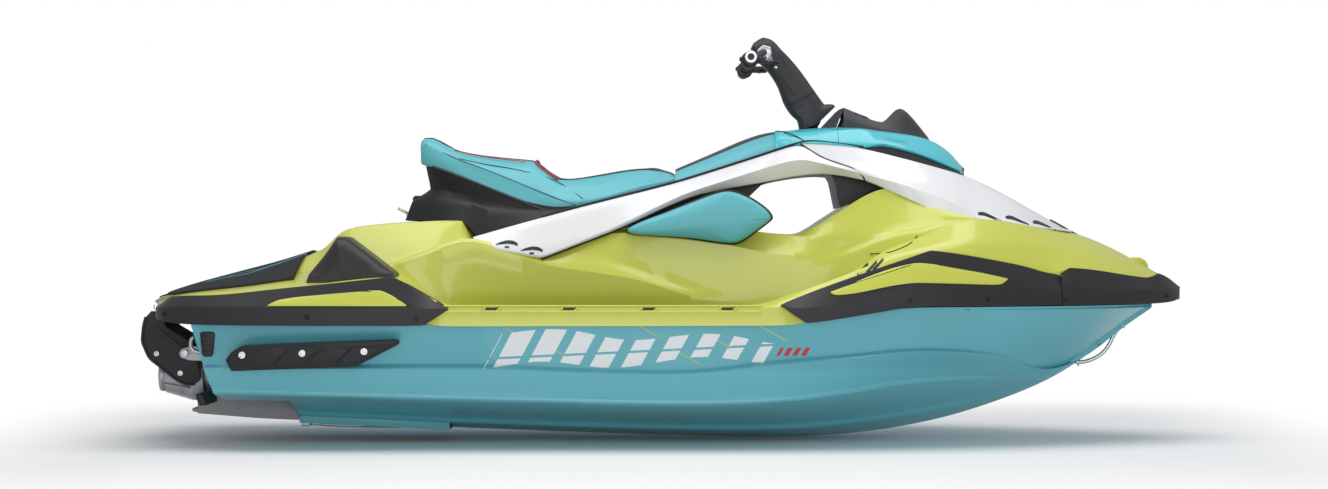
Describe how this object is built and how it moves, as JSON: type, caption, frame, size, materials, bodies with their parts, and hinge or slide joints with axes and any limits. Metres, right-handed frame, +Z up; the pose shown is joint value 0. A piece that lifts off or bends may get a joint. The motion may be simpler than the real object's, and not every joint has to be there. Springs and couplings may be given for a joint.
{
  "type": "personal watercraft",
  "caption": "Sit-on personal watercraft with V hull, low gunwales, open footwells, bridged frame over a leg window, saddle seat, hood locker, handlebar steering and jet drive.",
  "frame": {"origin": "on the centreline at the waterline, mid-length", "axes": "+X to the bow, +Y to port, +Z up"},
  "size_m": [3.13, 1.13, 1.2181],
  "materials": {
    "black_plastic": "fine-grained moulded",
    "black_rubber": "ribbed, matt",
    "bumper_rubber": "moulded, satin",
    "cast_aluminium": "cast and anodised, satin",
    "deck_gelcoat": "gloss gelcoat, lime",
    "hood_panel": "gloss moulded, light cyan",
    "hull_gelcoat": "gloss gelcoat, cyan",
    "seat_vinyl": "smooth marine vinyl over foam, light cyan",
    "stainless": "polished stainless steel",
    "white_panel": "gloss moulded, white"
  },
  "bodies": {
    "craft": {"arch_port": "white_panel", "arch_stbd": "white_panel", "bow_bumper": "bumper_rubber", "bow_deck": "deck_gelcoat", "bow_eye": "stainless", "bucket_arms": "black_plastic", "chock_port": "black_plastic", "chock_stbd": "black_plastic", "collar": "hood_panel", "cowl_port": "white_panel", "cowl_stbd": "white_panel", "engine": "cast_aluminium", "footwell_port": "deck_gelcoat", "footwell_stbd": "deck_gelcoat", "front_bumper_port": "bumper_rubber", "front_bumper_stbd": "bumper_rubber", "front_seat": "seat_vinyl", "gunwale_port": "deck_gelcoat", "gunwale_stbd": "deck_gelcoat", "hull": "hull_gelcoat", "intake_grate": "stainless", "knee_pad_port": "seat_vinyl", "knee_pad_stbd": "seat_vinyl", "locker": "black_plastic", "pedestal": "deck_gelcoat", "pump": "black_plastic", "rear_bumper_port": "bumper_rubber", "rear_bumper_stbd": "bumper_rubber", "rear_deck": "deck_gelcoat", "rear_mat": "black_rubber", "ride_plate": "cast_aluminium", "seat_base": "black_plastic", "seat_frame": "black_plastic", "sponson_port": "black_plastic", "sponson_stbd": "black_plastic", "stern_eye": "stainless"},
    "steering": {"column": "black_plastic", "handlebar": "stainless", "grip_port": "black_rubber", "grip_stbd": "black_rubber", "control_port": "black_plastic", "control_stbd": "black_plastic"},
    "lid": {"hood": "hood_panel", "console": "black_plastic"},
    "cushion": {"seat": "seat_vinyl"},
    "steering_nozzle": {"nozzle": "cast_aluminium"},
    "reverse_bucket": {"bucket": "black_plastic"},
    "drive": {"shaft": "stainless", "impeller": "stainless"}
  },
  "joints": [
    {"name": "steer", "type": "hinge", "parent": "craft", "child": "steering", "pos_m": [0.449, 0, 0.73], "axis": [-0.4879, 0, 0.8729], "range_deg": [-20, 20]},
    {"name": "nozzle_steer", "type": "hinge", "parent": "craft", "child": "steering_nozzle", "pos_m": [-1.405, 0, -0.028], "axis": [0, 0, 1], "range_deg": [-18, 18]},
    {"name": "reverse", "type": "hinge", "parent": "craft", "child": "reverse_bucket", "pos_m": [-1.433, 0, 0.041], "axis": [0, 1, 0], "range_deg": [-50, 12]},
    {"name": "impeller_spin", "type": "hinge", "parent": "craft", "child": "drive", "pos_m": [-1.18, 0, -0.028], "axis": [1, 0, 0], "continuous": true},
    {"name": "hood_lift", "type": "hinge", "parent": "craft", "child": "lid", "pos_m": [0.899, 0, 0.593], "axis": [0, 1, 0], "range_deg": [0, 50]},
    {"name": "seat_lift", "type": "slide", "parent": "craft", "child": "cushion", "axis": [0, 0, 1], "range_m": [0, 0.25]}
  ],
  "couplings": [
    {"joint": "nozzle_steer", "follows": "steer", "ratio": -0.9}
  ]
}
